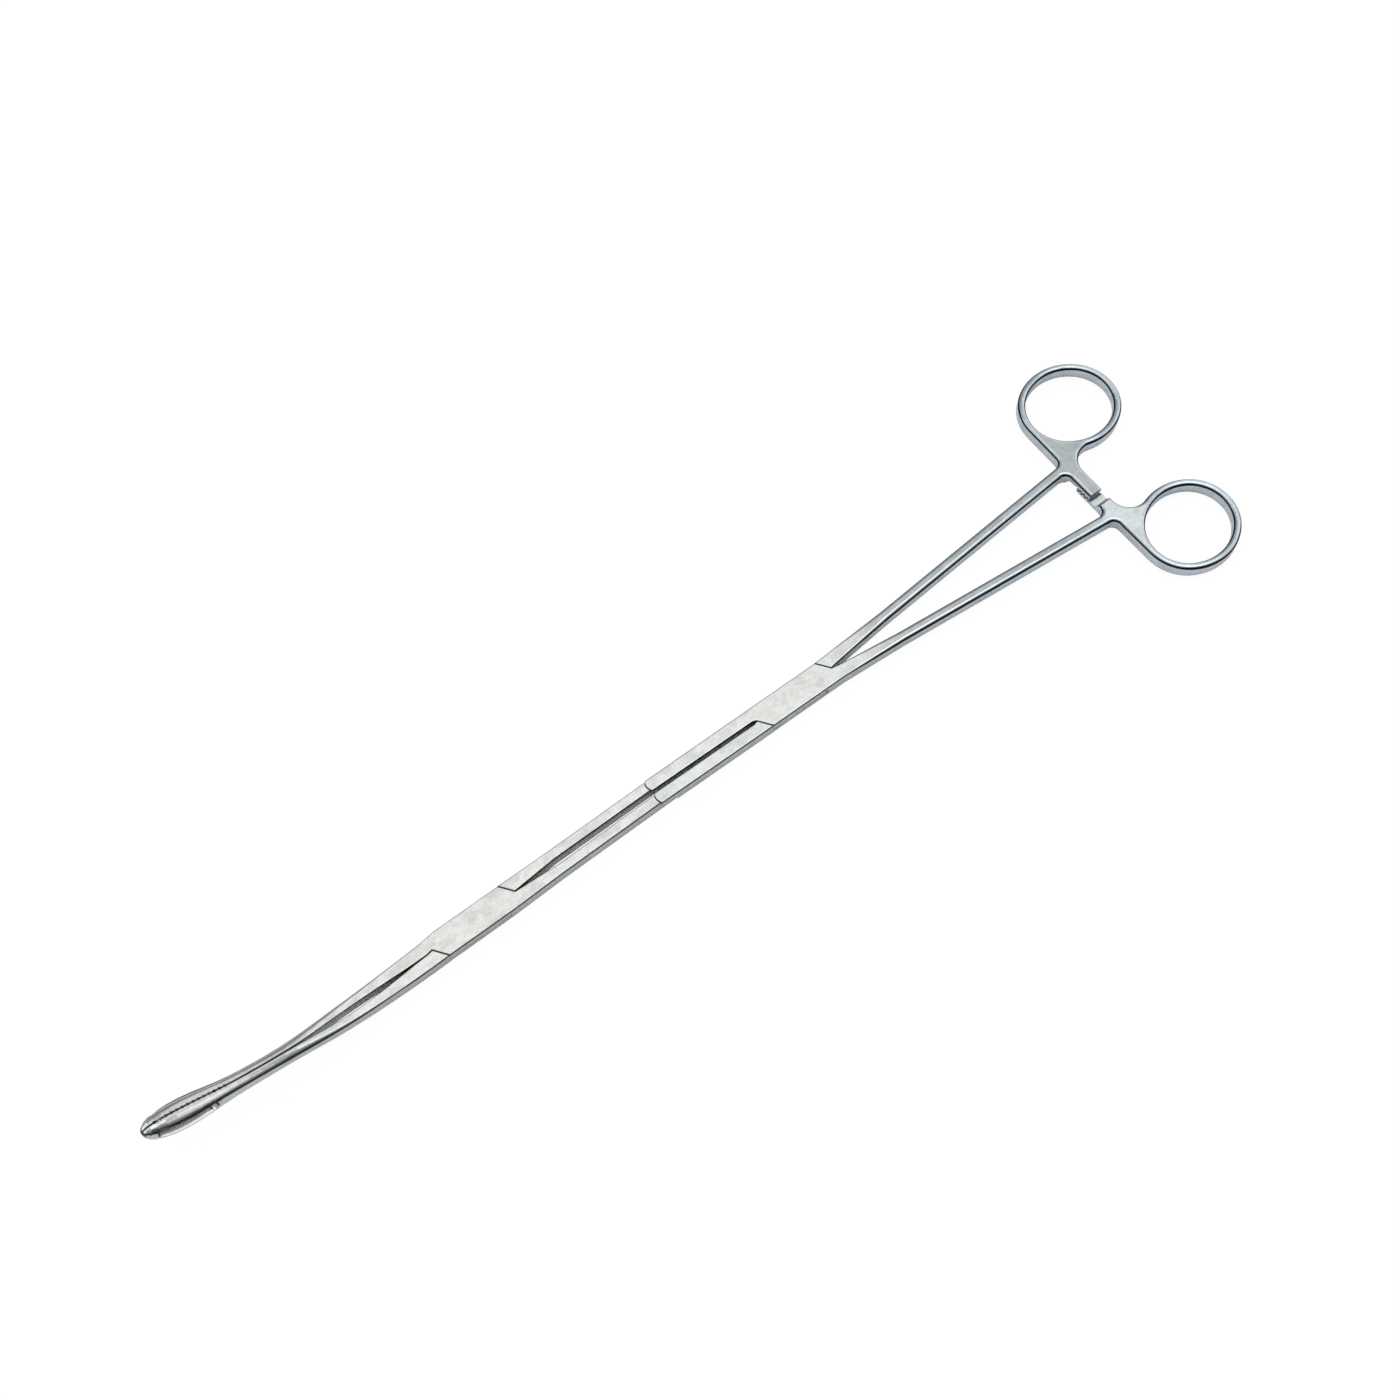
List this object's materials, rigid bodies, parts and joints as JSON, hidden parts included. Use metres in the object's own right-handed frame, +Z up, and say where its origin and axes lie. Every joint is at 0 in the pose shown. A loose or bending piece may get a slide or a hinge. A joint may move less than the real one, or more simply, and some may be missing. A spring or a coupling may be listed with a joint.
{
  "type": "tunneling forceps",
  "caption": "Long surgical forceps with box locks in line, lap-jointed double-action levers, ratcheted finger rings and slim upcurved jaws with windowed, serrated heads.",
  "frame": {"origin": "centre of the underside of the rear box lock, below its pin", "axes": "+X from the rear box lock to the finger rings, -X to the jaw tips, +Y to the ring of the tongue lever, +Z up from the flat underside, the way the jaws curve"},
  "size_m": [0.3516, 0.0819, 0.0256],
  "materials": {
    "handle_steel": "satin stainless steel, polished on the roundings",
    "jaw_steel": "satin stainless steel, polished on the roundings",
    "pin_steel": "satin stainless steel, ground flush"
  },
  "bodies": {
    "box_handle": {"box_handle_lever": "handle_steel", "rear_box_pin": "pin_steel", "upper_knuckle_pin": "pin_steel"},
    "tongue_handle": {"tongue_handle_lever": "handle_steel", "lower_knuckle_pin": "pin_steel"},
    "tongue_jaw": {"tongue_jaw_lever": "jaw_steel"},
    "box_jaw": {"box_jaw_lever": "jaw_steel", "front_box_pin": "pin_steel"}
  },
  "joints": [
    {"name": "rear_box_lock", "type": "hinge", "parent": "box_handle", "child": "tongue_handle", "pos_m": [0, 0, 0.0024], "axis": [0, 0, 1], "range_deg": [0, 28]},
    {"name": "upper_knuckle", "type": "hinge", "parent": "box_handle", "child": "tongue_jaw", "pos_m": [-0.0469, 0.00269, 0.0024], "axis": [0, 0, 1], "range_deg": [0, 23.6]},
    {"name": "front_box_lock", "type": "hinge", "parent": "tongue_jaw", "child": "box_jaw", "pos_m": [-0.1099, 0, 0.0024], "axis": [0, 0, 1], "range_deg": [-20.8, 0]}
  ],
  "couplings": [
    {"joint": "upper_knuckle", "follows": "rear_box_lock", "ratio": 0.8398},
    {"joint": "front_box_lock", "follows": "rear_box_lock", "ratio": -0.7407}
  ]
}
